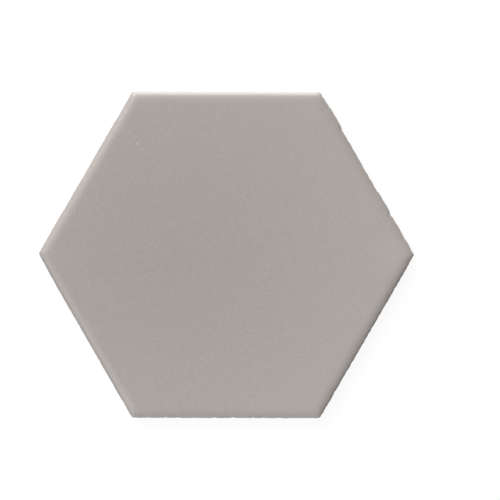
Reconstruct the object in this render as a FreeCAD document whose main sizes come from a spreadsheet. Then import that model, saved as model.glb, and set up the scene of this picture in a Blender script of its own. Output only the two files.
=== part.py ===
import FreeCAD, Part

import math
import os

import Sketcher

# Hexagon floor tile: pressed from one charge of clay, glazed on its face and fired as one piece.
# Frame: the ribs of the back lie on Z = 0 and the glazed face looks up. Two corners point along X,
# two flats face along Y, and the origin is the middle of the back.

# Driving dimensions, in millimetres and degrees: name, value, what it is
SIZES = [
    ("across_flats", "175", "one straight side to the side across from it"),
    ("thickness", "9", "ribs of the back to the glazed face"),
    ("corner_radius", "1.8", "rounding of the six corners, seen from above"),
    ("cushion_width", "5.4", "how far in from the side the face begins to fall"),
    ("cushion_drop", "1.9", "how far the cushioned edge falls before the side wall starts"),
    ("back_arris", "0.8", "bevel round the back, which keeps burrs off the joint"),
    ("key_rib", "3", "width of the rib between two honeycomb cells of the back"),
    ("key_depth", "0.7", "depth of the cells, which key the tile into its mortar"),
    ("key_draft", "30", "slope of the cell walls, by which the press die lifts out"),
    ("key_border", "10.7", "plain margin between the side of the tile and the cells"),
]

NODE = "hexagon_tile"
SIDES = 6
TURN = 360 / SIDES

# The cushion is lofted through levels at this many equal steps of its quarter ellipse
CUSHION_STEPS = 6

# Rings of cells round the middle one, and their spacing, at which they fill the back up to its border
KEY_RINGS = 5
KEY_PITCH = (
    "(Sizes.across_flats / 2 - Sizes.key_border + Sizes.key_rib / 2 / cos(30 deg))"
    " / (%d * cos(30 deg) + 1 / 2 / cos(30 deg))" % KEY_RINGS
)

# The cells repeat along X and along this direction, in degrees from X
SLANT = 120


def make_sheet(doc):
    sheet = doc.addObject("Spreadsheet::Sheet", "Sizes")
    for row, (name, value, meaning) in enumerate(SIZES, start=1):
        sheet.set("A%d" % row, name)
        sheet.set("B%d" % row, value)
        sheet.set("C%d" % row, meaning)
        sheet.setAlias("B%d" % row, name)
    doc.recompute()


def polar(radius, degrees):
    angle = math.radians(degrees)
    return FreeCAD.Vector(radius * math.cos(angle), radius * math.sin(angle), 0)


def new_sketch(body, name, height="0"):
    """An empty sketch, parallel to the back and lifted off it by an expression."""
    ground = next(item for item in body.Origin.OriginFeatures if item.Role == "XY_Plane")
    sketch = body.newObject("Sketcher::SketchObject", name)
    sketch.AttachmentSupport = [(ground, "")]
    sketch.MapMode = "FlatFace"
    sketch.setExpression("AttachmentOffset.Base.z", height)
    return sketch


def hold(sketch, *constraint):
    sketch.addConstraint(Sketcher.Constraint(*constraint))


def measure(sketch, name, rule, *constraint):
    """Adds a dimension whose value is an expression."""
    index = sketch.addConstraint(Sketcher.Constraint(*constraint, sketch.evalExpression(rule)))
    sketch.renameConstraint(index, name)
    sketch.setExpression("Constraints." + name, rule)


def draw_outline(sketch, inset_rule):
    """The tile seen from above, drawn in by an inset: a regular hexagon with rounded corners."""
    half_flats_rule = "Sizes.across_flats / 2 - " + inset_rule
    radius_rule = "Sizes.corner_radius"
    radius = sketch.evalExpression(radius_rule)
    centre_reach = (sketch.evalExpression(half_flats_rule) - radius) / math.cos(math.radians(TURN / 2))
    sides = []
    corners = []
    for index in range(SIDES):
        facing = 90 + index * TURN
        out = polar(radius, facing)
        start = polar(centre_reach, facing - TURN / 2) + out
        end = polar(centre_reach, facing + TURN / 2) + out
        sides.append(sketch.addGeometry(Part.LineSegment(start, end)))
    for index in range(SIDES):
        facing = 90 + index * TURN
        circle = Part.Circle(polar(centre_reach, facing + TURN / 2), FreeCAD.Vector(0, 0, 1), radius)
        arc = Part.ArcOfCircle(circle, math.radians(facing), math.radians(facing + TURN))
        corners.append(sketch.addGeometry(arc))

    # Each corner runs smoothly out of one side and into the next
    for index in range(SIDES):
        hold(sketch, "Tangent", sides[index], 2, corners[index], 1)
        hold(sketch, "Tangent", corners[index], 2, sides[(index + 1) % SIDES], 1)
    for index in range(1, SIDES):
        hold(sketch, "Equal", sides[0], sides[index])
        hold(sketch, "Equal", corners[0], corners[index])

    # Fixed directions make the equal-sided hexagon regular
    for index in range(SIDES // 2 + 1):
        hold(sketch, "Angle", sides[index], math.radians(index * TURN - 180))
    hold(sketch, "Symmetric", sides[0], 1, sides[SIDES // 2], 1, -1, 1)
    measure(sketch, "half_flats", half_flats_rule, "DistanceY", -1, 1, sides[0], 1)
    measure(sketch, "rounding", radius_rule, "Radius", corners[0])


def add_side_wall(body):
    """The upright side, from the back to the foot of the cushioned edge."""
    outline = new_sketch(body, "SideOutline")
    draw_outline(outline, "0")
    wall = body.newObject("PartDesign::Pad", "SideWall")
    wall.Profile = outline
    wall.setExpression("Length", "Sizes.thickness - Sizes.cushion_drop")
    return wall


def add_cushion(body):
    """The cushioned edge: a quarter ellipse that leaves the side upright and meets the face level.

    Every level keeps the corner radius, so the slopes meet in six soft mitres."""
    levels = []
    for step in range(CUSHION_STEPS + 1):
        angle = "(%g deg)" % (90 * step / CUSHION_STEPS)
        height = "Sizes.thickness - Sizes.cushion_drop * (1 - sin%s)" % angle
        level = new_sketch(body, "CushionLevel%d" % step, height)
        draw_outline(level, "Sizes.cushion_width * (1 - cos%s)" % angle)
        levels.append(level)
    cushion = body.newObject("PartDesign::AdditiveLoft", "CushionEdge")
    cushion.Profile = levels[0]
    cushion.Sections = levels[1:]
    cushion.Ruled = False
    return cushion


def add_back_arris(body, base):
    """The bevel all round the back."""
    edges = []
    for number, edge in enumerate(base.Shape.Edges, start=1):
        if edge.BoundBox.ZMax < base.Shape.BoundBox.ZMin + edge.Tolerance:
            edges.append("Edge%d" % number)
    arris = body.newObject("PartDesign::Chamfer", "BackArris")
    arris.Base = (base, edges)
    arris.setExpression("Size", "Sizes.back_arris")
    return arris


def draw_cell(sketch, place_rule):
    """The mouth of a honeycomb cell: a hexagon on the X axis, with two flats facing along X.

    Returns the construction circle through its corners."""
    half_flats_rule = "(%s - Sizes.key_rib) / 2" % KEY_PITCH
    reach = sketch.evalExpression(half_flats_rule) / math.cos(math.radians(TURN / 2))
    centre = FreeCAD.Vector(sketch.evalExpression(place_rule), 0, 0)
    corners = [centre + polar(reach, TURN / 2 + index * TURN) for index in range(SIDES)]
    sides = []
    for index in range(SIDES):
        sides.append(sketch.addGeometry(Part.LineSegment(corners[index - 1], corners[index])))
    circle = sketch.addGeometry(Part.Circle(centre, FreeCAD.Vector(0, 0, 1), reach), True)
    for index in range(SIDES):
        hold(sketch, "Coincident", sides[index], 2, sides[(index + 1) % SIDES], 1)
        hold(sketch, "PointOnObject", sides[index], 1, circle)
    for index in range(1, SIDES):
        hold(sketch, "Equal", sides[0], sides[index])
    hold(sketch, "Vertical", sides[0])
    measure(sketch, "half_flats", half_flats_rule, "DistanceX", circle, 3, sides[0], 1)
    return circle


def draw_repeats(sketch, circle):
    """Holds a cell one pitch out along X, and draws the two directions in which cells repeat."""
    pitch = sketch.evalExpression(KEY_PITCH)
    row = sketch.addGeometry(Part.LineSegment(FreeCAD.Vector(), polar(pitch, 0)), True)
    slant = sketch.addGeometry(Part.LineSegment(FreeCAD.Vector(), polar(pitch, SLANT)), True)
    hold(sketch, "Coincident", row, 1, -1, 1)
    hold(sketch, "Coincident", row, 2, circle, 3)
    hold(sketch, "Horizontal", row)
    hold(sketch, "Coincident", slant, 1, -1, 1)
    hold(sketch, "Angle", slant, math.radians(SLANT))
    hold(sketch, "Equal", row, slant)
    measure(sketch, "pitch", KEY_PITCH, "DistanceX", -1, 1, circle, 3)


def sink_cell(body, name, mouth):
    """A cell sunk into the back, with its walls leaning in towards its floor."""
    cell = body.newObject("PartDesign::Pocket", name)
    cell.Profile = mouth
    cell.Reversed = True
    cell.setExpression("Length", "Sizes.key_depth")
    cell.setExpression("TaperAngle", "-Sizes.key_draft")
    return cell


def repeat_cells(body, name, direction, count):
    """Cells one pitch apart along a direction."""
    pattern = body.newObject("PartDesign::LinearPattern", name)
    pattern.Direction = direction
    pattern.Mode = "Spacing"
    pattern.setExpression("Offset", KEY_PITCH)
    pattern.Occurrences = count
    return pattern


def add_key(body):
    """The honeycomb of shallow cells on the back: a middle cell, and round it three like fields.

    A field is rows of cells, and the fields are a third of a turn apart."""
    middle = new_sketch(body, "MiddleCellMouth")
    hold(middle, "Coincident", draw_cell(middle, "0"), 3, -1, 1)
    sink_cell(body, "MiddleCell", middle)

    first = new_sketch(body, "FirstCellMouth")
    draw_repeats(first, draw_cell(first, KEY_PITCH))
    first_cell = sink_cell(body, "FirstCell", first)

    row = repeat_cells(body, "CellRow", (first, ["Axis0"]), KEY_RINGS)
    field = repeat_cells(body, "CellField", (first, ["Axis1"]), KEY_RINGS + 1)

    thirds = body.newObject("PartDesign::PolarPattern", "CellThirds")
    thirds.Axis = (first, ["N_Axis"])
    thirds.Angle = 360
    thirds.Occurrences = 3

    honeycomb = body.newObject("PartDesign::MultiTransform", "Honeycomb")
    honeycomb.Originals = [first_cell]
    honeycomb.Transformations = [row, field, thirds]
    body.Tip = honeycomb


def check(doc, body, plain_volume):
    """Stops the build where a feature failed, or where the honeycomb isn't all there."""
    for item in doc.Objects:
        if "Invalid" in item.State or "Error" in item.State:
            raise RuntimeError("%s failed: %s" % (item.Name, item.State))
    if body.Shape.isNull() or not body.Shape.isValid() or len(body.Shape.Solids) != 1:
        raise RuntimeError("%s isn't one valid solid" % body.Label)

    cells = 1 + 3 * KEY_RINGS * (KEY_RINGS + 1)
    expected = cells * (plain_volume - doc.MiddleCell.Shape.Volume)
    sunk = plain_volume - body.Shape.Volume
    if abs(sunk - expected) > 0.001 * expected:
        raise RuntimeError("%d cells take %.1f mm3 and not %.1f" % (cells, sunk, expected))
    print("%s: %.0f mm3, %d cells on the back" % (body.Label, body.Shape.Volume, cells))


def main():
    doc = FreeCAD.newDocument("hexagon_floor_tile")
    make_sheet(doc)
    body = doc.addObject("PartDesign::Body", "HexagonTile")
    body.Label = NODE
    add_side_wall(body)
    cushion = add_cushion(body)
    doc.recompute()
    arris = add_back_arris(body, cushion)
    doc.recompute()
    plain_volume = arris.Shape.Volume
    add_key(body)
    doc.recompute()
    check(doc, body, plain_volume)
    os.makedirs("parts", exist_ok=True)
    body.Shape.exportStep("parts/%s.step" % body.Label)


main()
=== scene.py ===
"""A hexagonal floor tile with a satin, warm grey glaze, lying flat on white and seen from straight above.

Lengths are millimetres and angles are degrees; MM turns a length into the scene's metres. The tile
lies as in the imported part: glazed face up, two corners along X, and its back on z = 0.
"""

import math

import bpy
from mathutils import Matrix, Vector, noise
from mathutils.geometry import delaunay_2d_cdt


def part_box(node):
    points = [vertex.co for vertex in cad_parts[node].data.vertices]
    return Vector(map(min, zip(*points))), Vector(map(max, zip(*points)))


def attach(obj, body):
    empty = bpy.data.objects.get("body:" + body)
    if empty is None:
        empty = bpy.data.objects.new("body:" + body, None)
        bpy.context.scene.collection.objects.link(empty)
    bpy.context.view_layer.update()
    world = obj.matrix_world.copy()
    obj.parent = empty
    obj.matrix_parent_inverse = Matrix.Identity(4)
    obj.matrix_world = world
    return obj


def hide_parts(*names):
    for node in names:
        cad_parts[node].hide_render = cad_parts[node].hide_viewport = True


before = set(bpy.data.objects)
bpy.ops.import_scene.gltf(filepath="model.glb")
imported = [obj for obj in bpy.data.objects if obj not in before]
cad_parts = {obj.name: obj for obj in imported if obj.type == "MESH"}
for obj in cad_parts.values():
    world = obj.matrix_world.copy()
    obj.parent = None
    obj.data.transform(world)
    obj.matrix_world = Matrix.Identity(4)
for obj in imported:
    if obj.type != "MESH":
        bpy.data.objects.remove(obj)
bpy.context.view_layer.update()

MM = 0.001
NODE = "hexagon_tile"
SIDES = 6
TURN = 360 / SIDES
COS_HALF_TURN = math.cos(math.radians(TURN / 2))
TAN_HALF_TURN = math.tan(math.radians(TURN / 2))

# Two lengths nearer than this are taken as one
CLOSE = 0.004

# Fineness of the mesh
ARC_STEPS = 10
SIDE_STEPS = 180
CUSHION_ROWS = 16
WALL_ROWS = 5
FACE_SPACING = 1.25
CELL_ARC_STEPS = 3
MARK_STEPS = 12

# A mitre between two cushioned edges gets softer inwards: growth of its radius with the inset
MITRE_GROWTH = 0.35

# Some corners are looser or sharper than the drawn one: more or less radius, by the corner's direction
CORNER_CHANGES = {0: -0.3, 60: 1.2, 120: 0.4, 180: 0.7, 240: -0.2, 300: -0.3}

# How far in the sides stand, by their direction: places along each from its first corner, going
# clockwise, and the depth there. One side is ragged, and stands out here and there.
SIDE_LINES = {
    30: [
        (0, 0.20), (4.5, 0.28), (9.4, 0.16), (10.4, -0.30), (21.0, -0.26), (22.8, 0.14), (23.8, 0.38),
        (25.2, 0.24), (38.6, 0.24), (45.6, 0.32), (47.6, 0.40), (49.6, 0.20), (52.8, 0.32), (61.2, 0.34),
        (62.6, 0.06), (67.6, -0.14), (73.0, -0.14), (74.6, 0.06), (76.0, 0.52), (77.8, 0.16), (79.4, 0.0),
        (87.6, 0.0), (89.4, 0.20), (91.4, 0.0), (96.2, 0.0), (98.4, 0.14),
    ],
    90: [(0, 0.02), (50, 0.10), (101, 0.17)],
    150: [
        (0, 0.12), (8, 0.12), (13, 0.0), (26, 0.0), (33, 0.10), (54, 0.10), (60, 0.02), (82, 0.0),
        (84.4, 0.16), (88, 0.16), (100, 0.06),
    ],
    210: [(0, 0.20), (80, 0.18), (87, 0.30), (94, 0.44), (101, 0.55)],
    270: [(0, 0.04), (10, 0.06), (16, 0.0), (96.4, 0.0), (98.8, 0.12), (101, 0.14)],
    330: [(0, 0.42), (4.4, 0.38), (6.5, 0.14), (101, 0.10)],
}

# Nicks in the sides: side, place along it, length, depth
NICKS = [
    (330, 13.4, 1.8, 0.10), (330, 18.0, 3.0, 0.10), (330, 37.6, 3.2, 0.12), (330, 45.0, 2.0, 0.10),
    (330, 57.5, 4.5, 0.14), (330, 84.9, 2.2, 0.52), (270, 22.3, 4.5, 0.20), (270, 30.5, 2.5, 0.18),
    (270, 36.0, 2.2, 0.20), (270, 46.5, 4.0, 0.34), (270, 57.0, 2.4, 0.24), (270, 76.0, 2.6, 0.18),
    (270, 82.8, 2.6, 0.32), (270, 92.0, 3.0, 0.20), (210, 9.5, 4.0, 0.18), (210, 57.0, 2.4, 0.08),
    (150, 28.0, 4.0, 0.08), (150, 49.0, 3.2, 0.10), (150, 86.0, 5.0, 0.10),
]

# Fine unevenness of the sides: depth of the waves, by the side's direction, and their lengths. Down the
# side they are WAVE_STRETCH times longer. WAVE_LEVEL is added to their noise, of which what is above zero
# counts.
WAVE_DEPTHS = {30: 0.24, 90: 0.02, 150: 0.12, 210: 0.12, 270: 0.12, 330: 0.22}
WAVE_LENGTHS = (3.4, 1.5)
WAVE_STRETCH = 3
WAVE_LEVEL = 0.4

# Nicks and waves fade out down the side over this height, as it draws in. A side's line goes on down to
# the bevel of the back, and fades out over it, but the ragged side's settles at an even depth first.
RAGGED_HEIGHT = 3.6
DRAW_IN = 0.2
SETTLED_DEPTHS = {30: 0.5}
BEVEL_HEIGHT = 1.0

# The tip of one corner is chipped
CHIPPED_CORNER = 300
CHIP_RADIUS = 2.2
CHIP_DEPTH = 0.1
CHIP_STEEPNESS = 1.4

# Pinholes in the glaze, at seven places, with a cluster of three at one: x, y, radius, depth
MARKS = [
    (-48.2, 59.8, 1.1, 0.2), (-78.9, 24.2, 0.8, 0.17), (-79.2, 22.0, 0.9, 0.18), (-81.8, 22.9, 1.0, 0.3),
    (66.4, 20.9, 0.85, 0.22), (-5.1, -3.1, 0.8, 0.2), (72.8, -31.1, 0.8, 0.18), (78.2, 8.1, 0.8, 0.18),
    (8.4, 23.7, 0.8, 0.16),
]

# Rings of the mesh round a pinhole, and how far the face's lattice keeps from it, in its radii
MARK_RINGS = (0.3, 0.6, 0.85, 1.1, 1.5)
MARK_REACH = 2.2

# How far the face's points keep from the cushion: the lattice's, in its spacings, and the pinholes'
LATTICE_MARGIN = 0.55
MARK_MARGIN = 0.15

# The glaze eases the cushion into the face over this much more than in the drawn tile
CUSHION_EASE = 0.8

# The glazed face is never quite flat: depth and length of its slow waves, and of the glaze's ripple
SLOW_DEPTH = 0.05
SLOW_LENGTH = 45.0
RIPPLE_DEPTH = 0.016
RIPPLE_LENGTH = 3.2

# The glaze ends on the side at an uneven line over the bare fired body, which lies further in
GLAZE_FOOT = 3.1
FOOT_SWING = 1.4
FOOT_SWING_LENGTH = 15.0
FOOT_RIPPLE = 0.6
FOOT_RIPPLE_LENGTH = 3.6
BODY_INSET = 0.15
GLAZE_LIP = [(0.30, 0.0), (0.13, 0.0), (0.04, 0.03), (0.0, 0.09), (-0.06, BODY_INSET)]
BODY_ROWS = 4
BODY_GRAIN = 0.05
BODY_GRAIN_LENGTH = 1.1

# The bevel round the back, from the body's side to the level of the ribs: inset and height
ARRIS = [
    (0.15, 0.82), (0.165, 0.71), (0.21, 0.60), (0.45, 0.35), (0.68, 0.12), (0.76, 0.045),
    (0.84, 0.01), (0.95, 0.0), (1.25, 0.0),
]

# A cell of the honeycomb key, from the rib down to its floor: inset from its mouth, and height
CELL_PROFILE = [
    (-0.45, 0.0), (-0.22, 0.0), (-0.08, 0.015), (0.03, 0.07), (0.09, 0.155), (0.33, 0.57),
    (0.39, 0.655), (0.50, 0.692), (0.68, 0.70), (0.95, 0.70),
]
CELL_CORNER = 1.0
CELL_LEAST_CORNER = 0.3
CELL_WOBBLE = 0.07
CELL_WOBBLE_LENGTH = 2.5

# The key's cells are measured along its middle row, on the points that lie this near the X axis
KEY_ROW_HALF_WIDTH = 5.0

# Where each kind of unevenness starts in the noise
WAVE_START = 2.3
SLOW_START = 5.7
RIPPLE_START = 9.1
FOOT_SWING_START = 3.3
FOOT_RIPPLE_START = 8.8
BODY_GRAIN_START = 1.9
CELL_WOBBLE_START = 4.4

# Places of the two finishes among the mesh's materials
GLAZE = 0
BODY = 1


def direction(angle):
    """The level unit vector at this angle from +X."""
    turn = math.radians(angle)
    return Vector((math.cos(turn), math.sin(turn)))


def wander(point, height, length, start):
    """Smooth noise about zero, mostly within half a unit, whose swings are about this long."""
    place = Vector((point.x, point.y, height)) / length
    return noise.noise(place + Vector((start, -start, start)))


def lifted_wander(point, height, length, start):
    """The same noise, mostly between 0 and 1."""
    return 0.5 + wander(point, height, length, start)


def fade(value):
    """Eases from 0 to 1 as the value does."""
    value = min(max(value, 0.0), 1.0)
    return value * value * (3 - 2 * value)


class Tile:
    """The tile's driving sizes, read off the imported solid."""

    def __init__(self):
        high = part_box(NODE)[1]
        points = [vertex.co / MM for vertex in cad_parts[NODE].data.vertices]
        self.half_flats = high.y / MM
        self.top = high.z / MM
        tip = self.half_flats / COS_HALF_TURN - high.x / MM
        self.corner_radius = tip / (1 / COS_HALF_TURN - 1)

        side = [p.z for p in points if p.y > self.half_flats - CLOSE]
        face = [p.y for p in points if p.z > self.top - CLOSE]
        self.wall_top = max(side)
        self.cushion_width = self.half_flats - max(face)
        self.cushion_drop = self.top - self.wall_top

        row = [p.x for p in points if p.z < CLOSE and abs(p.y) < KEY_ROW_HALF_WIDTH]
        rims = sorted({round(x, 2) for x in row if 0 < x < self.half_flats})
        self.cell_half = rims[0]
        self.pitch = rims[0] + rims[1]
        self.rings = (len(rims) - 1) // 2


tile = Tile()


def rounded_hexagon(reach, radii, first_corner, arc_steps, side_steps):
    """The points of a hexagon with rounded corners, counterclockwise. Each comes with its outward
    direction and the sides that it belongs to, as their directions and its share in them."""
    stations = []
    for corner in range(SIDES):
        here = first_corner + corner * TURN
        radius = radii[corner]
        next_radius = radii[(corner + 1) % SIDES]
        centre = direction(here) * (reach - radius) / COS_HALF_TURN
        facing = here + TURN / 2
        for step in range(arc_steps):
            turned = step / arc_steps
            out = direction(here + (turned - 0.5) * TURN)
            sides = [((facing - TURN) % 360, 1 - turned), (facing, turned)]
            stations.append((centre + radius * out, out, sides))
        out = direction(facing)
        along = direction(facing + 90)
        start = (radius - reach) * TAN_HALF_TURN
        end = (reach - next_radius) * TAN_HALF_TURN
        for step in range(side_steps):
            run = start + (end - start) * step / side_steps
            stations.append((reach * out + run * along, out, [(facing, 1.0)]))
    return stations


def outline(inset):
    """The tile seen from above, drawn in by an inset."""
    radii = []
    for corner in range(SIDES):
        change = CORNER_CHANGES.get(corner * TURN, 0)
        radii.append(tile.corner_radius + change + MITRE_GROWTH * inset)
    return rounded_hexagon(tile.half_flats - inset, radii, 0, ARC_STEPS, SIDE_STEPS)


def along_line(line, place):
    """The depth at a place between the points of a line, or past its ends."""
    for (start, depth), (end, next_depth) in zip(line, line[1:]):
        if start <= place <= end:
            return depth + (next_depth - depth) * fade((place - start) / (end - start))
    return line[0][1] if place < line[0][0] else line[-1][1]


def side_depth(point, facing, height):
    """How far in one side stands from a true one at a point."""
    place = tile.half_flats * TAN_HALF_TURN - point.dot(direction(facing + 90))
    fine = 0.0
    for side, middle, length, nick in NICKS:
        if side == facing:
            fine += nick * fade(1 - abs(place - middle) / (length / 2))
    wave = sum(wander(point, height / WAVE_STRETCH, length, WAVE_START) for length in WAVE_LENGTHS)
    fine += WAVE_DEPTHS[facing] * max(0.0, WAVE_LEVEL + wave)
    line = along_line(SIDE_LINES[facing], place)
    settled = SETTLED_DEPTHS.get(facing, line + DRAW_IN)
    down = fade((tile.wall_top - height) / RAGGED_HEIGHT)
    return (line + fine) * (1 - down) + settled * down


def raggedness(point, sides, height):
    """How far in the tile's edge stands from a true one."""
    depth = sum(share * side_depth(point, facing, height) for facing, share in sides)

    # A bite out of the chipped corner, deepest just above the upright side
    tip = direction(CHIPPED_CORNER) * tile.half_flats / COS_HALF_TURN
    away = Vector((point.x - tip.x, point.y - tip.y, height - tile.wall_top)).length
    depth += CHIP_DEPTH * fade(CHIP_STEEPNESS * (1 - away / CHIP_RADIUS))
    return depth


def mark_depth(point):
    """The depth of the pinholes at a point of the face."""
    depth = 0.0
    for x, y, radius, mark in MARKS:
        share = (point - Vector((x, y))).length_squared / radius ** 2
        if share < 1:
            depth += mark * (1 - share) ** 2
    return depth


def relief(point):
    """How far the glazed face lies below a true plane."""
    slow = SLOW_DEPTH * lifted_wander(point, 0, SLOW_LENGTH, SLOW_START)
    ripple = RIPPLE_DEPTH * lifted_wander(point, 0, RIPPLE_LENGTH, RIPPLE_START)
    return max(0.0, slow + ripple + mark_depth(point))


class Skin:
    """The points and faces of one closed mesh, gathered part by part."""

    def __init__(self):
        self.points = []
        self.faces = []
        self.finishes = []

    def add(self, points):
        """Adds points and gives their numbers."""
        first = len(self.points)
        self.points.extend(points)
        return list(range(first, len(self.points)))

    def band(self, rim, next_rim, finish):
        """Joins two rims, going outwards and down the side, or inwards across the back."""
        for index, number in enumerate(rim):
            after = (index + 1) % len(rim)
            self.faces.append((number, next_rim[index], next_rim[after], rim[after]))
            self.finishes.append(finish)

    def fan(self, rim, middle, finish):
        """Closes a rim on the back round a middle point."""
        for index, number in enumerate(rim):
            self.faces.append((number, middle, rim[(index + 1) % len(rim)]))
            self.finishes.append(finish)

    def fill(self, rims, scattered, finish, upward):
        """Covers the area inside the first rim and outside the others, through scattered points."""
        inside_with_holes = 2
        numbers = [number for rim in rims for number in rim] + scattered
        places = [Vector(self.points[number][:2]) for number in numbers]
        loops = []
        first = 0
        for rim in rims:
            loops.append(list(range(first, first + len(rim))))
            first += len(rim)
        cover = delaunay_2d_cdt(places, [], loops, inside_with_holes, CLOSE)
        triangles, sources = cover[2], cover[3]
        for triangle in triangles:
            corners = [numbers[sources[place][0]] for place in triangle]
            if not upward:
                corners.reverse()
            self.faces.append(corners)
            self.finishes.append(finish)


def add_cushion(skin):
    """The cushioned edge, from the flat face out to the upright side: the rims of a quarter ellipse."""
    cushion = tile.cushion_width + CUSHION_EASE
    rims = []
    for row in range(CUSHION_ROWS + 1):
        angle = math.radians(90 * row / CUSHION_ROWS)
        inset = cushion * (1 - math.sin(angle))
        height = tile.top - tile.cushion_drop * (1 - math.cos(angle))
        share = (1 - inset / cushion) ** 2
        points = []
        for point, out, sides in outline(inset):
            moved = point - out * raggedness(point, sides, height) * share
            points.append((moved.x, moved.y, height - relief(point)))
        rims.append(skin.add(points))
    for rim, next_rim in zip(rims, rims[1:]):
        skin.band(rim, next_rim, GLAZE)
    return rims[0], rims[-1]


def glaze_foot(point):
    """The height at which the glaze ends on the side."""
    swing = FOOT_SWING * wander(point, 0, FOOT_SWING_LENGTH, FOOT_SWING_START)
    ripple = FOOT_RIPPLE * wander(point, 0, FOOT_RIPPLE_LENGTH, FOOT_RIPPLE_START)
    return GLAZE_FOOT + swing + ripple


def side_column(point):
    """The insets and heights that the side goes down through at a point."""
    foot = glaze_foot(point)
    lip_top = foot + GLAZE_LIP[0][0]
    column = []
    for row in range(1, WALL_ROWS):
        column.append((0.0, tile.wall_top + (lip_top - tile.wall_top) * row / WALL_ROWS))
    column += [(inset, foot + rise) for rise, inset in GLAZE_LIP]
    lip_foot = column[-1][1]
    for row in range(1, BODY_ROWS):
        column.append((BODY_INSET, lip_foot + (ARRIS[0][1] - lip_foot) * row / BODY_ROWS))
    return column + ARRIS


def add_side(skin, top_rim):
    """The upright side with the end of the glaze, the bare body under it and the bevel of the back."""
    stations = outline(0)
    columns = [side_column(point) for point, out, sides in stations]

    # The rows above the lip and those of the lip itself are glazed
    glazed = WALL_ROWS - 1 + len(GLAZE_LIP)
    rim = top_rim
    for row in range(len(columns[0])):
        points = []
        for (point, out, sides), column in zip(stations, columns):
            inset, height = column[row]
            inset += raggedness(point, sides, height) * fade(height / BEVEL_HEIGHT)
            if row >= glazed and height > 0:
                inset += BODY_GRAIN * lifted_wander(point, height, BODY_GRAIN_LENGTH, BODY_GRAIN_START)
            moved = point - out * inset
            points.append((moved.x, moved.y, height))
        next_rim = skin.add(points)
        skin.band(rim, next_rim, GLAZE if row < glazed else BODY)
        rim = next_rim
    return rim


def add_face(skin, rim):
    """The flat glazed face: a lattice of points, closer round each pinhole."""
    edge = tile.half_flats - tile.cushion_width - CUSHION_EASE
    reach = edge - LATTICE_MARGIN * FACE_SPACING
    sides = [direction(TURN / 2 + index * TURN) for index in range(SIDES)]
    rise = FACE_SPACING * COS_HALF_TURN
    rows = int(reach / rise)
    columns = int(reach / COS_HALF_TURN / FACE_SPACING)
    places = []
    for row in range(-rows, rows + 1):
        for column in range(-columns, columns + 1):
            place = Vector(((column + (row % 2) / 2) * FACE_SPACING, row * rise))
            near_mark = any((place - Vector((x, y))).length < radius * MARK_REACH
                            for x, y, radius, depth in MARKS)
            if not near_mark and all(place.dot(side) < reach for side in sides):
                places.append(place)
    for x, y, radius, depth in MARKS:
        rings = [Vector((x, y))]
        for share in MARK_RINGS:
            for step in range(MARK_STEPS):
                rings.append(rings[0] + share * radius * direction(360 * step / MARK_STEPS))
        for place in rings:
            if all(place.dot(side) < edge - MARK_MARGIN for side in sides):
                places.append(place)
    scattered = skin.add([(p.x, p.y, tile.top - relief(p)) for p in places])
    skin.fill([rim], scattered, GLAZE, upward=True)


def cell_centres():
    """The middles of the honeycomb's cells."""
    centres = []
    for across in range(-tile.rings, tile.rings + 1):
        for up in range(-tile.rings, tile.rings + 1):
            if abs(across + up) <= tile.rings:
                centres.append(tile.pitch * (across * direction(0) + up * direction(TURN)))
    return centres


def add_cell(skin, centre):
    """One cell sunk into the back. Returns its outermost rim, which lies on the rib."""
    rims = []
    for inset, height in CELL_PROFILE:
        radii = [max(CELL_CORNER - inset, CELL_LEAST_CORNER)] * SIDES
        points = []
        for point, out, sides in rounded_hexagon(
                tile.cell_half - inset, radii, TURN / 2, CELL_ARC_STEPS, 1):
            place = centre + point

            # The outermost rim, which lies on the rib, stays true
            if rims:
                wobble = CELL_WOBBLE * wander(place, height, CELL_WOBBLE_LENGTH, CELL_WOBBLE_START)
                place += out * wobble
            points.append((place.x, place.y, height))
        rims.append(skin.add(points))
    for rim, next_rim in zip(rims, rims[1:]):
        skin.band(rim, next_rim, BODY)
    middle = skin.add([(centre.x, centre.y, CELL_PROFILE[-1][1])])[0]
    skin.fan(rims[-1], middle, BODY)
    return rims[0]


def add_back(skin, rim):
    """The back: a plain border and the ribs between the cells of the honeycomb."""
    cells = [add_cell(skin, centre) for centre in cell_centres()]
    skin.fill([rim] + cells, [], BODY, upward=False)


def build_tile(materials):
    """The whole tile as one closed mesh."""
    skin = Skin()
    face_rim, side_rim = add_cushion(skin)
    add_face(skin, face_rim)
    back_rim = add_side(skin, side_rim)
    add_back(skin, back_rim)

    mesh = bpy.data.meshes.new("glazed_hexagon_tile")
    mesh.from_pydata([Vector(point) * MM for point in skin.points], [], skin.faces)
    for material in materials:
        mesh.materials.append(material)
    mesh.polygons.foreach_set("material_index", skin.finishes)
    mesh.shade_smooth()
    mesh.update()
    piece = bpy.data.objects.new("glazed_hexagon_tile", mesh)
    bpy.context.scene.collection.objects.link(piece)
    return piece


def srgb(red, green, blue):
    """A colour given as it looks on a screen, 0 to 255, in the linear values that shaders take."""
    linear = []
    for level in (red, green, blue):
        share = level / 255
        linear.append(share / 12.92 if share <= 0.04045 else ((share + 0.055) / 1.055) ** 2.4)
    return (*linear, 1.0)


# The colour sockets of a mix node, by number: its share, its two colours, and its result
MIX_SHARE = 0
MIX_COLOURS = (6, 7)
MIX_RESULT = 2

# The range that nearly all of a noise texture's values lie in
NOISE_LOW = 0.3
NOISE_HIGH = 0.7


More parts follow.
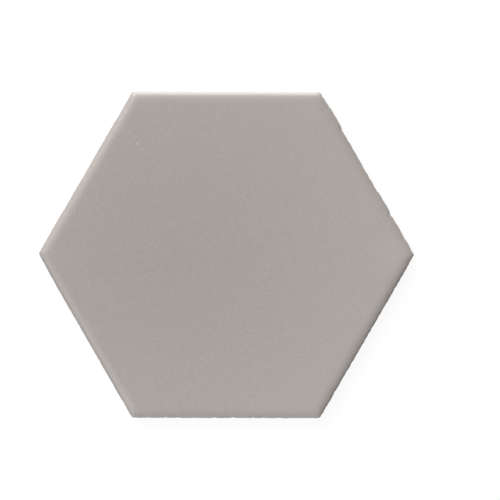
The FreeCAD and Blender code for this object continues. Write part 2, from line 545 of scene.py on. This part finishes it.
class Shader:
    """A material's nodes, with the few kinds that the tile's finishes need."""

    def __init__(self, name):
        self.material = bpy.data.materials.new(name)
        self.material.use_nodes = True
        self.tree = self.material.node_tree
        self.surface = self.tree.nodes["Principled BSDF"]
        self.place = self.tree.nodes.new("ShaderNodeTexCoord").outputs["Object"]

    def join(self, source, target):
        self.tree.links.new(source, target)

    def noise(self, size, detail=2.0, roughness=0.5):
        """Noise from 0 to 1 whose swings are about this long."""
        node = self.tree.nodes.new("ShaderNodeTexNoise")
        node.inputs["Scale"].default_value = 1 / (size * MM)
        node.inputs["Detail"].default_value = detail
        node.inputs["Roughness"].default_value = roughness
        self.join(self.place, node.inputs["Vector"])
        return node.outputs["Fac"]

    def grade(self, value, start, end, low=0.0, high=1.0):
        """Takes the values from start to end to low to high, smoothly, and holds those outside."""
        node = self.tree.nodes.new("ShaderNodeMapRange")
        node.interpolation_type = "SMOOTHSTEP"
        self.join(value, node.inputs["Value"])
        node.inputs["From Min"].default_value = start
        node.inputs["From Max"].default_value = end
        node.inputs["To Min"].default_value = low
        node.inputs["To Max"].default_value = high
        return node.outputs["Result"]

    def clouds(self, size, low=0.0, high=1.0, detail=2.0, roughness=0.5):
        """Noise whose swings are about this long, spread from low to high."""
        return self.grade(self.noise(size, detail, roughness), NOISE_LOW, NOISE_HIGH, low, high)

    def span(self, length, start, end, low=0.0, high=1.0):
        """A grade of a length, with its start and end in millimetres."""
        return self.grade(length, start * MM, end * MM, low, high)

    def coordinate(self, axis):
        """One coordinate in the tile's frame, in metres."""
        node = self.tree.nodes.new("ShaderNodeSeparateXYZ")
        self.join(self.place, node.inputs["Vector"])
        return node.outputs[axis]

    def below_face(self, start, end, low=0.0, high=1.0):
        """A grade of the height, with its start and end in millimetres below the face."""
        return self.span(self.coordinate("Z"), tile.top - start, tile.top - end, low, high)

    def distance(self, place):
        """The distance from a place on the face, in metres."""
        node = self.tree.nodes.new("ShaderNodeVectorMath")
        node.operation = "DISTANCE"
        self.join(self.place, node.inputs[0])
        node.inputs[1].default_value = Vector((*place, tile.top)) * MM
        return node.outputs["Value"]

    def multiply(self, first, *others):
        """The product of some values."""
        product = first
        for other in others:
            node = self.tree.nodes.new("ShaderNodeMath")
            node.operation = "MULTIPLY"
            self.join(product, node.inputs[0])
            self.join(other, node.inputs[1])
            product = node.outputs["Value"]
        return product

    def mix(self, share, first, second):
        """A colour between two, each a colour or a socket."""
        node = self.tree.nodes.new("ShaderNodeMix")
        node.data_type = "RGBA"
        self.join(share, node.inputs[MIX_SHARE])
        for colour, number in zip((first, second), MIX_COLOURS):
            if isinstance(colour, tuple):
                node.inputs[number].default_value = colour
            else:
                self.join(colour, node.inputs[number])
        return node.outputs[MIX_RESULT]

    def bump(self, height, depth, under=None):
        """A fine relief of this depth, over another if there is one."""
        node = self.tree.nodes.new("ShaderNodeBump")
        node.inputs["Distance"].default_value = depth * MM
        self.join(height, node.inputs["Height"])
        if under is not None:
            self.join(under, node.inputs["Normal"])
        return node.outputs["Normal"]


# The glaze's grain: its size, and the range of its noise that is spread from the darker to the paler tone.
# Those tones are given for the darkest place of the face's painted shade, and for the reach given after
# them
# away from it: painted shade and light, darker left of the middle of the face and paler outwards.
GRAIN_SIZE = 0.85
GRAIN_RANGE = (0.25, 0.75)
SHADED_TONES = ((154, 148.5, 144.5), (165, 159.5, 155.5))
LIT_TONES = ((165.5, 160, 156), (177, 171.5, 167.5))
PAINTED_SHADE_PLACE = (-36, -4)
PAINTED_SHADE_REACH = 160

# The pinker glaze of the cushion, in patches. Its share fades out upwards over PINK_DEPTHS, just below
# the face. Over PINK_REACH from LEAST_PINK_PLACE it grows from LEAST_PINK of that to the whole.
PINK = (171, 157.5, 150.5)
PINK_DEPTHS = (0.5, 0.03)
PINK_SHARE = 0.5
LEAST_PINK_PLACE = (-30, -80)
LEAST_PINK = 0.35
PINK_REACH = (20, 170)
PATCH_SIZE = 9
LEAST_PATCH = 0.3

# The blush by the corner on the right: its share fades out over BLUSH_REACH from its place
BLUSH = (180.5, 169.5, 167)
BLUSH_PLACE = (92, 1)
BLUSH_REACH = (3, 15)
BLUSH_SHARE = 0.36

# The painted shade line and the pale line of the rim. The dark line is painted shade on the steep rim
# round the left corner and along the lower left and lower right sides. The pale line is glaze that thins
# at the rim, with a painted highlight over it along the top side and more faintly along the bottom one.
# Going up, both set in over
# LINE_DEPTHS, round the top of the side, and fade out over depths of their own. Each lies along two
# stretches, and each of those is limited by one or more spans: axis, start and end along it, and the
# shares there.
LINE_DEPTHS = (2.3, 1.6)
# The painted shade line of the rim
PAINTED_RIM_SHADE = (140, 135, 131)
PAINTED_RIM_SHADE_DEPTHS = (1.2, 0.7)
PAINTED_RIM_SHADE_SHARE = 0.5
PAINTED_RIM_SHADE_STRETCHES = [
    [("X", -56, -49, 1.0, 0.0), ("Y", -12, 8, 1.0, 0.2)],
    [("X", 49, 56, 0.0, 1.0), ("Y", -6, 2, 1.0, 0.0)],
]
# The pale line of thin glaze on the rim, with a painted highlight over it
PALE_GLAZE_AND_HIGHLIGHT = (203.5, 198, 194.5)
PALE_GLAZE_AND_HIGHLIGHT_DEPTHS = (0.95, 0.3)
PALE_GLAZE_AND_HIGHLIGHT_SHARE = 1.0
PALE_GLAZE_AND_HIGHLIGHT_STRETCHES = [
    [("Y", 83, 85, 0.0, 1.0), ("X", -51.1, -48.8, 0.0, 1.0), ("X", 47, 52, 1.0, 0.25)],
    [("Y", -86.6, -85.2, 0.3, 0.0)],
]

# The glaze's gloss, and its fine bumps as sizes and depths
GLAZE_ROUGHNESS = (0.28, 0.33)
GLAZE_SHEEN_SIZE = 6
GLAZE_SPECULAR = 0.5
GLAZE_BUMPS = ((1.7, 0.004), (0.28, 0.003))


def grain_and_painted_shade(shader):
    """The glaze's even grain, with painted shade and light: darker left of the middle of the face, paler
    outwards.
    """
    grain = shader.grade(shader.noise(GRAIN_SIZE, detail=3, roughness=0.75), *GRAIN_RANGE)
    middle, border = [shader.mix(grain, srgb(*dark), srgb(*pale))
                      for dark, pale in (SHADED_TONES, LIT_TONES)]
    # Painted shade: from its darkest round one place left of the middle, the face turns paler outwards
    outwards = shader.span(shader.distance(PAINTED_SHADE_PLACE), 0, PAINTED_SHADE_REACH)
    return shader.mix(outwards, middle, border)


def pinker(shader, tone):
    """The tone with the pinker patches of the cushion and the blush by the right corner."""
    edge = shader.below_face(*PINK_DEPTHS, PINK_SHARE, 0.0)
    place = shader.span(shader.distance(LEAST_PINK_PLACE), *PINK_REACH, LEAST_PINK, 1.0)
    patches = shader.clouds(PATCH_SIZE, LEAST_PATCH, 1.0)
    tone = shader.mix(shader.multiply(edge, place, patches), tone, srgb(*PINK))
    blush = shader.span(shader.distance(BLUSH_PLACE), *BLUSH_REACH, BLUSH_SHARE, 0.0)
    return shader.mix(blush, tone, srgb(*BLUSH))


def lined(shader, tone, colour, depths, share, stretches):
    """The tone with a line of this colour along stretches of the rim."""
    line = shader.multiply(shader.below_face(*LINE_DEPTHS), shader.below_face(*depths, share, 0.0))
    for spans in stretches:
        limits = [shader.span(shader.coordinate(axis), *span) for axis, *span in spans]
        tone = shader.mix(shader.multiply(line, shader.multiply(*limits)), tone, srgb(*colour))
    return tone


def make_glaze():
    """Satin warm grey glaze: finely grained, with painted shade deeper left of the middle of the face,
    pinker over the cushioned edge, and along its rim a painted shade line, and a pale line where it thins
    with a painted highlight over it."""
    shader = Shader("satin_glaze")
    tone = pinker(shader, grain_and_painted_shade(shader))
    # Painted shade on the rim round the left corner and along the lower left and lower right sides
    tone = lined(shader, tone, PAINTED_RIM_SHADE, PAINTED_RIM_SHADE_DEPTHS, PAINTED_RIM_SHADE_SHARE, PAINTED_RIM_SHADE_STRETCHES)
    # The pale line where the glaze thins, with a painted highlight over it
    tone = lined(shader, tone, PALE_GLAZE_AND_HIGHLIGHT, PALE_GLAZE_AND_HIGHLIGHT_DEPTHS, PALE_GLAZE_AND_HIGHLIGHT_SHARE, PALE_GLAZE_AND_HIGHLIGHT_STRETCHES)
    shader.join(tone, shader.surface.inputs["Base Color"])
    shader.join(shader.clouds(GLAZE_SHEEN_SIZE, *GLAZE_ROUGHNESS, detail=3),
                shader.surface.inputs["Roughness"])
    (size, depth), (fine_size, fine_depth) = GLAZE_BUMPS
    ripple = shader.bump(shader.noise(size, detail=1), depth)
    shader.join(shader.bump(shader.noise(fine_size), fine_depth, ripple), shader.surface.inputs["Normal"])
    shader.surface.inputs["Specular IOR Level"].default_value = GLAZE_SPECULAR
    return shader.material


# The fired body: its clouds, and over them sand, specks of iron and the worn kiln wash. The specks and
# the wash set in over a range of their noise, and the wash lies only on what is lower than WASH_HEIGHT.
CLOUD_SIZE = 14
CLOUD_TONES = ((184, 172, 154), (197, 186, 169))
SAND = (210, 201, 186)
SAND_SIZE = 0.35
SAND_SHARE = 0.45
IRON = (128, 104, 84)
IRON_SIZE = 0.8
IRON_RANGE = (0.74, 0.78)
IRON_SHARE = 0.7
KILN_WASH = (218, 215, 208)
WASH_HEIGHT = 0.06
WASH_SIZE = 3.2
WASH_RANGE = (0.42, 0.6)
WASH_SHARE = 0.8

# The body's gloss, and its bumps as sizes and depths
BODY_ROUGHNESS = (0.82, 0.95)
BODY_SHEEN_SIZE = 2
BODY_SPECULAR = 0.3
BODY_BUMPS = ((0.9, 0.05), (0.22, 0.02))


def make_body():
    """Bare fired clay: pale and sandy, with iron specks and a worn kiln wash on the ribs of the back."""
    shader = Shader("fired_body")
    cloud = shader.clouds(CLOUD_SIZE, detail=4, roughness=0.6)
    tone = shader.mix(cloud, srgb(*CLOUD_TONES[0]), srgb(*CLOUD_TONES[1]))
    tone = shader.mix(shader.clouds(SAND_SIZE, 0.0, SAND_SHARE), tone, srgb(*SAND))
    iron = shader.grade(shader.noise(IRON_SIZE, detail=1), *IRON_RANGE, 0.0, IRON_SHARE)
    tone = shader.mix(iron, tone, srgb(*IRON))
    low = shader.span(shader.coordinate("Z"), 0.0, WASH_HEIGHT, 1.0, 0.0)
    worn = shader.grade(shader.noise(WASH_SIZE, detail=5, roughness=0.65), *WASH_RANGE, 0.0, WASH_SHARE)
    tone = shader.mix(shader.multiply(low, worn), tone, srgb(*KILN_WASH))
    shader.join(tone, shader.surface.inputs["Base Color"])
    shader.join(shader.clouds(BODY_SHEEN_SIZE, *BODY_ROUGHNESS, detail=3),
                shader.surface.inputs["Roughness"])
    (size, depth), (fine_size, fine_depth) = BODY_BUMPS
    coarse = shader.bump(shader.noise(size, detail=3), depth)
    shader.join(shader.bump(shader.noise(fine_size), fine_depth, coarse), shader.surface.inputs["Normal"])
    shader.surface.inputs["Specular IOR Level"].default_value = BODY_SPECULAR
    return shader.material


# White surroundings. Near the tile the floor shows a white of its own, FLOOR_GLOW, and a little of the
# light on it, FLOOR_TINT. Between two radii it turns to plain white. The radii and the floor's size are
# metres, and it lies FLOOR_DROP millimetres under the tile. For the light that it sends back, it is as
# pale as FLOOR_BOUNCE, and AMBIENT is the strength of the light all round.
FLOOR_GLOW = 0.91
FLOOR_TINT = 0.12
FLOOR_WHITE_FROM = 0.25
FLOOR_WHITE_TO = 0.6
FLOOR_SIZE = 12.0
FLOOR_DROP = 0.03
FLOOR_BOUNCE = 0.8
AMBIENT = 0.04


def seen_directly(tree):
    """1 for the rays that show a surface itself, in a mirror or through glass, and 0 for its light."""
    path = tree.nodes.new("ShaderNodeLightPath")
    first = tree.nodes.new("ShaderNodeMath")
    first.operation = "MAXIMUM"
    tree.links.new(path.outputs["Is Camera Ray"], first.inputs[0])
    tree.links.new(path.outputs["Is Glossy Ray"], first.inputs[1])
    second = tree.nodes.new("ShaderNodeMath")
    second.operation = "MAXIMUM"
    tree.links.new(first.outputs[0], second.inputs[0])
    tree.links.new(path.outputs["Is Transmission Ray"], second.inputs[1])
    return second.outputs[0]


def make_floor():
    """A white floor that keeps the tile's faint shadow."""
    half = FLOOR_SIZE / 2
    corners = [(-half, -half), (half, -half), (half, half), (-half, half)]
    mesh = bpy.data.meshes.new("floor")
    mesh.from_pydata([(x, y, -FLOOR_DROP * MM) for x, y in corners], [], [(0, 1, 2, 3)])
    floor = bpy.data.objects.new("floor", mesh)
    bpy.context.scene.collection.objects.link(floor)

    material = bpy.data.materials.new("white_floor")
    material.use_nodes = True
    tree = material.node_tree
    tree.nodes.clear()
    output = tree.nodes.new("ShaderNodeOutputMaterial")

    # What the floor shows: its own white and a little of the light on it, with the shadow
    glow = tree.nodes.new("ShaderNodeEmission")
    glow.inputs["Strength"].default_value = FLOOR_GLOW
    tint = tree.nodes.new("ShaderNodeBsdfDiffuse")
    tint.inputs["Color"].default_value = (FLOOR_TINT, FLOOR_TINT, FLOOR_TINT, 1)
    near = tree.nodes.new("ShaderNodeAddShader")
    tree.links.new(glow.outputs[0], near.inputs[0])
    tree.links.new(tint.outputs[0], near.inputs[1])

    # Away from the tile the floor is plain white
    white = tree.nodes.new("ShaderNodeEmission")
    place = tree.nodes.new("ShaderNodeTexCoord")
    distance = tree.nodes.new("ShaderNodeVectorMath")
    distance.operation = "LENGTH"
    tree.links.new(place.outputs["Object"], distance.inputs[0])
    far = tree.nodes.new("ShaderNodeMapRange")
    far.inputs["From Min"].default_value = FLOOR_WHITE_FROM
    far.inputs["From Max"].default_value = FLOOR_WHITE_TO
    tree.links.new(distance.outputs["Value"], far.inputs["Value"])
    shown = tree.nodes.new("ShaderNodeMixShader")
    tree.links.new(far.outputs["Result"], shown.inputs[0])
    tree.links.new(near.outputs[0], shown.inputs[1])
    tree.links.new(white.outputs[0], shown.inputs[2])

    # The light that it sends back is that of a plain pale floor
    bounce = tree.nodes.new("ShaderNodeBsdfDiffuse")
    bounce.inputs["Color"].default_value = (FLOOR_BOUNCE, FLOOR_BOUNCE, FLOOR_BOUNCE, 1)
    either = tree.nodes.new("ShaderNodeMixShader")
    tree.links.new(seen_directly(tree), either.inputs[0])
    tree.links.new(bounce.outputs[0], either.inputs[1])
    tree.links.new(shown.outputs[0], either.inputs[2])
    tree.links.new(either.outputs[0], output.inputs["Surface"])
    mesh.materials.append(material)


def make_world():
    """White surroundings that light the tile evenly and weakly."""
    world = bpy.data.worlds.new("studio")
    bpy.context.scene.world = world
    world.use_nodes = True
    tree = world.node_tree
    tree.nodes.clear()
    output = tree.nodes.new("ShaderNodeOutputWorld")
    light = tree.nodes.new("ShaderNodeBackground")
    light.inputs["Color"].default_value = (1, 1, 1, 1)
    light.inputs["Strength"].default_value = AMBIENT
    white = tree.nodes.new("ShaderNodeBackground")
    white.inputs["Color"].default_value = (1, 1, 1, 1)
    either = tree.nodes.new("ShaderNodeMixShader")
    tree.links.new(seen_directly(tree), either.inputs[0])
    tree.links.new(light.outputs[0], either.inputs[1])
    tree.links.new(white.outputs[0], either.inputs[2])
    tree.links.new(either.outputs[0], output.inputs["Surface"])


# Soft square lamps: name, azimuth, elevation, distance and width in metres, and the share of the light
# on the tile's face that each one brings. The glaze shows no lamp that is lower than LOWEST_SHEEN.
LAMPS = [
    ("far_low", 105, 14, 8.0, 2.8, 0.065),
    ("far_broad", 105, 22, 8.0, 4.0, 0.135),
    ("far_middle", 90, 22, 8.0, 4.0, 0.102),
    ("left_far_low", 150, 22, 8.0, 4.0, 0.107),
    ("near_strip", 240, 9, 1.5, 0.4, 0.020),
    ("near_low", 240, 20, 1.5, 0.6, 0.072),
    ("key", 120, 50, 6.0, 3.0, 0.267),
    ("left_far_high", 150, 55, 8.0, 2.8, 0.066),
    ("left_near_high", 210, 60, 6.0, 2.1, 0.074),
    ("near_high", 270, 55, 0.9, 0.63, 0.098),
]
LOWEST_SHEEN = 40


def make_lamps():
    """Lamps all round that look at the tile and together light its face plainly."""
    for name, azimuth, elevation, distance, width, share in LAMPS:
        rise = math.sin(math.radians(elevation))
        level = direction(azimuth) * math.cos(math.radians(elevation))
        towards = Vector((level.x, level.y, rise))
        light = bpy.data.lights.new(name, "AREA")
        light.shape = "SQUARE"
        light.size = width

        # The power that lights a level surface at the origin to this share of its own colour
        light.energy = share * (math.pi * distance) ** 2 / rise
        lamp = bpy.data.objects.new(name, light)
        lamp.location = towards * distance
        lamp.rotation_euler = towards.to_track_quat("Z", "Y").to_euler()
        lamp.visible_camera = False
        lamp.visible_glossy = elevation > LOWEST_SHEEN
        bpy.context.scene.collection.objects.link(lamp)


# The camera looks straight down. In the photo's 500 pixels the true hexagon, from which the tile's sides
# stand in a little, is this wide across its flats, with its middle at this column and row.
PHOTO_SIZE = 500
PHOTO_ACROSS_FLATS = 326.6
PHOTO_MIDDLE = (226.25, 254.88)
PHOTO_ROLL = 0.13
LENS = 200.0
SENSOR = 36.0
CLIP_NEAR = 0.01
CLIP_FAR = 50.0


def make_camera():
    """A camera over the tile, placed so that the tile lies in its picture as in the photo."""
    pixel = 2 * tile.half_flats / PHOTO_ACROSS_FLATS
    height = pixel * PHOTO_SIZE * LENS / SENSOR + tile.wall_top
    camera = bpy.data.cameras.new("camera")
    camera.lens = LENS
    camera.sensor_width = SENSOR
    camera.clip_start = CLIP_NEAR
    camera.clip_end = CLIP_FAR
    holder = bpy.data.objects.new("camera", camera)
    right = (PHOTO_SIZE / 2 - PHOTO_MIDDLE[0]) * pixel
    up = (PHOTO_MIDDLE[1] - PHOTO_SIZE / 2) * pixel
    holder.location = Vector((right, up, height)) * MM
    holder.rotation_euler = (0, 0, math.radians(PHOTO_ROLL))
    bpy.context.scene.collection.objects.link(holder)
    bpy.context.scene.camera = holder


piece = build_tile([make_glaze(), make_body()])
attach(piece, "root")
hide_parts(NODE)

make_floor()
make_world()
make_lamps()
make_camera()
bpy.context.scene.view_settings.view_transform = "Standard"
